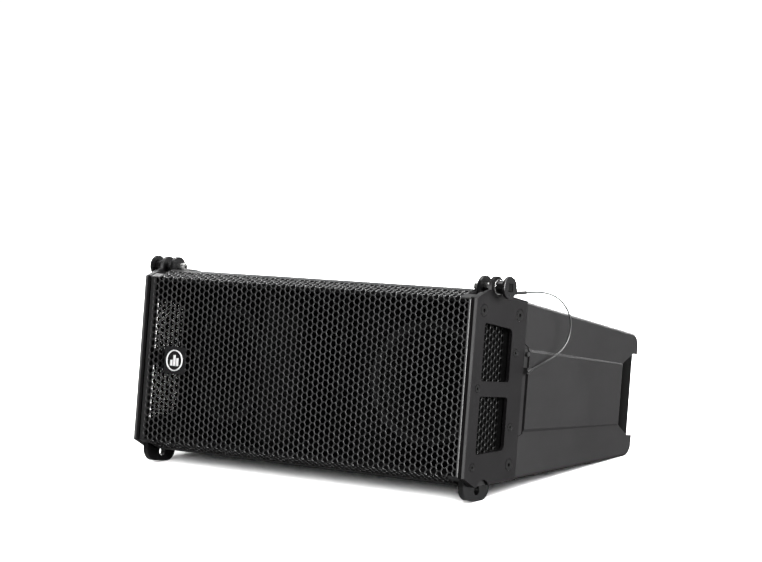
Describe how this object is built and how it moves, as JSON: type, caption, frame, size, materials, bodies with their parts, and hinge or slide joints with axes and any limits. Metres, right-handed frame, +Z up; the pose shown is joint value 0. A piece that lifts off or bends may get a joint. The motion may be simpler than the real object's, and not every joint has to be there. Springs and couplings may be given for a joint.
{
  "type": "line array speaker",
  "caption": "Wedge-shaped two-way line array speaker with a hex-mesh grille, steel side rigging plates, quick-lock pins, lower lugs and a swinging rear link.",
  "frame": {"origin": "centre of the footprint under the leaning box, on the floor it rests on", "axes": "+X to the box's right seen from the front, +Y to its rear, +Z up; the box leans back 9.78 degrees about X, on its lugs and its rear bottom edge"},
  "size_m": [0.6152, 0.4366, 0.2899],
  "materials": {
    "shell_paint": "fine-textured dark grey coating",
    "baffle_paint": "black painted board",
    "grille_steel": "satin black powder coat",
    "plate_steel": "fine-textured dark grey powder coat",
    "rigging_black": "satin black",
    "bright_steel": "bare steel",
    "black_screw": "black oxide",
    "spring_steel": "spring wire",
    "badge_black": "gloss",
    "badge_pale": "satin",
    "cast_black": "black cast",
    "ferrite": "dark grey",
    "cone_paper": "pulp",
    "coil_wire": "wound wire",
    "roll_rubber": "matte",
    "spider_cloth": "treated cloth",
    "horn_plastic": "moulded",
    "dome_metal": "thin foil",
    "panel_black": "anodised",
    "board_green": "circuit board",
    "socket_black": "moulded",
    "grip_rubber": "grip",
    "knob_black": "moulded",
    "cable_steel": "thin wire rope in a black sleeve",
    "crimp_metal": "crimped"
  },
  "bodies": {
    "cabinet": {"badge_mark": "badge_pale", "badge_plate": "badge_black", "cabinet_shell": "shell_paint", "circuit_board": "board_green", "compression_driver": "cast_black", "connector_plate": "panel_black", "driver_diaphragm": "dome_metal", "ear_bracket_left": "rigging_black", "ear_bracket_right": "rigging_black", "front_baffle": "baffle_paint", "front_grille": "grille_steel", "hand_grips": "grip_rubber", "heat_sink": "panel_black", "lanyard_anchor_left": "crimp_metal", "lanyard_anchor_right": "crimp_metal", "lanyard_cable_left": "cable_steel", "lanyard_cable_right": "cable_steel", "link_pivot": "bright_steel", "lug_left": "rigging_black", "lug_right": "rigging_black", "panel_screws": "black_screw", "plate_screws_large": "black_screw", "plate_screws_small": "black_screw", "port_mesh_left": "grille_steel", "port_mesh_right": "grille_steel", "power_sockets": "socket_black", "rear_bracket": "rigging_black", "rigging_bolts": "black_screw", "side_plate_left": "plate_steel", "side_plate_right": "plate_steel", "signal_sockets": "socket_black", "waveguide": "horn_plastic", "woofer_basket_left": "cast_black", "woofer_basket_right": "cast_black", "woofer_motor_left": "ferrite", "woofer_motor_right": "ferrite", "woofer_screws": "black_screw", "woofer_spider_left": "spider_cloth", "woofer_spider_right": "spider_cloth", "woofer_surround_left": "roll_rubber", "woofer_surround_right": "roll_rubber"},
    "lock_pin_left": {"pin_shank_left": "bright_steel", "pin_head_left": "rigging_black", "pin_spring_left": "spring_steel", "lanyard_sleeve_left": "cable_steel"},
    "pin_button_left": {"pin_button_left": "rigging_black"},
    "cone_left": {"woofer_cone_left": "cone_paper", "woofer_dust_cap_left": "cone_paper", "woofer_voice_coil_left": "coil_wire"},
    "lock_pin_right": {"pin_shank_right": "bright_steel", "pin_head_right": "rigging_black", "pin_spring_right": "spring_steel", "lanyard_sleeve_right": "cable_steel"},
    "pin_button_right": {"pin_button_right": "rigging_black"},
    "cone_right": {"woofer_cone_right": "cone_paper", "woofer_dust_cap_right": "cone_paper", "woofer_voice_coil_right": "coil_wire"},
    "link_arm": {"rear_link": "rigging_black"},
    "level_knob": {"level_knob": "knob_black"},
    "preset_button": {"preset_button": "knob_black"}
  },
  "joints": [
    {"name": "lock_pin_right_pull", "type": "slide", "parent": "cabinet", "child": "lock_pin_right", "axis": [1, 0, 0], "range_m": [0, 0.045]},
    {"name": "pin_button_right_press", "type": "slide", "parent": "lock_pin_right", "child": "pin_button_right", "axis": [-1, 0, 0], "range_m": [0, 0.004], "stiffness_N_per_m": 1500, "springref_m": -0.002},
    {"name": "cone_right_stroke", "type": "slide", "parent": "cabinet", "child": "cone_right", "axis": [0.2448, -0.9555, 0.1647], "range_m": [-0.005, 0.005], "stiffness_N_per_m": 2500, "deforming": ["woofer_surround_right", "woofer_spider_right"]},
    {"name": "lock_pin_left_pull", "type": "slide", "parent": "cabinet", "child": "lock_pin_left", "axis": [-1, 0, 0], "range_m": [0, 0.045]},
    {"name": "pin_button_left_press", "type": "slide", "parent": "lock_pin_left", "child": "pin_button_left", "axis": [1, 0, 0], "range_m": [0, 0.004], "stiffness_N_per_m": 1500, "springref_m": -0.002},
    {"name": "cone_left_stroke", "type": "slide", "parent": "cabinet", "child": "cone_left", "axis": [-0.2448, -0.9555, 0.1647], "range_m": [-0.005, 0.005], "stiffness_N_per_m": 2500, "deforming": ["woofer_surround_left", "woofer_spider_left"]},
    {"name": "link_arm_swing", "type": "hinge", "parent": "cabinet", "child": "link_arm", "pos_m": [0, 0.1985, 0.14304], "axis": [1, 0, 0], "range_deg": [0, 170]},
    {"name": "level_knob_turn", "type": "hinge", "parent": "cabinet", "child": "level_knob", "pos_m": [-0.074, 0.20261, 0.11392], "axis": [0, 0.9855, -0.1699], "range_deg": [0, 300]},
    {"name": "preset_button_press", "type": "slide", "parent": "cabinet", "child": "preset_button", "axis": [0, -0.9855, 0.1699], "range_m": [0, 0.0015], "stiffness_N_per_m": 500, "springref_m": -0.001}
  ]
}
